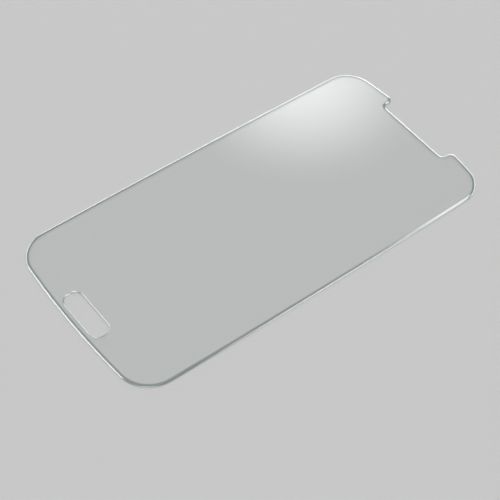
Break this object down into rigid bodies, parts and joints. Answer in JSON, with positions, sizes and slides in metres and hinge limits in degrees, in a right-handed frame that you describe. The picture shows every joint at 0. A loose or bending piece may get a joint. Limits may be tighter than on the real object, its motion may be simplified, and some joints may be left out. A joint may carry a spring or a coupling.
{
  "type": "phone screen protector",
  "caption": "Flat clear glass sheet that covers a phone's screen, with rounded corners, a bevelled rim, a home-button slot and an earpiece notch.",
  "frame": {"origin": "under the middle of the sheet's own box, on its underside", "axes": "+X across the sheet, +Y along it towards the notched end, +Z out of its outer, bevelled face"},
  "size_m": [0.0644, 0.1304, 0.0004],
  "materials": {
    "clear_glass": "clear tempered glass, polished faces and ground edges with a faint green tint"
  },
  "bodies": {
    "root": {"glass_sheet": "clear_glass"}
  },
  "joints": []
}
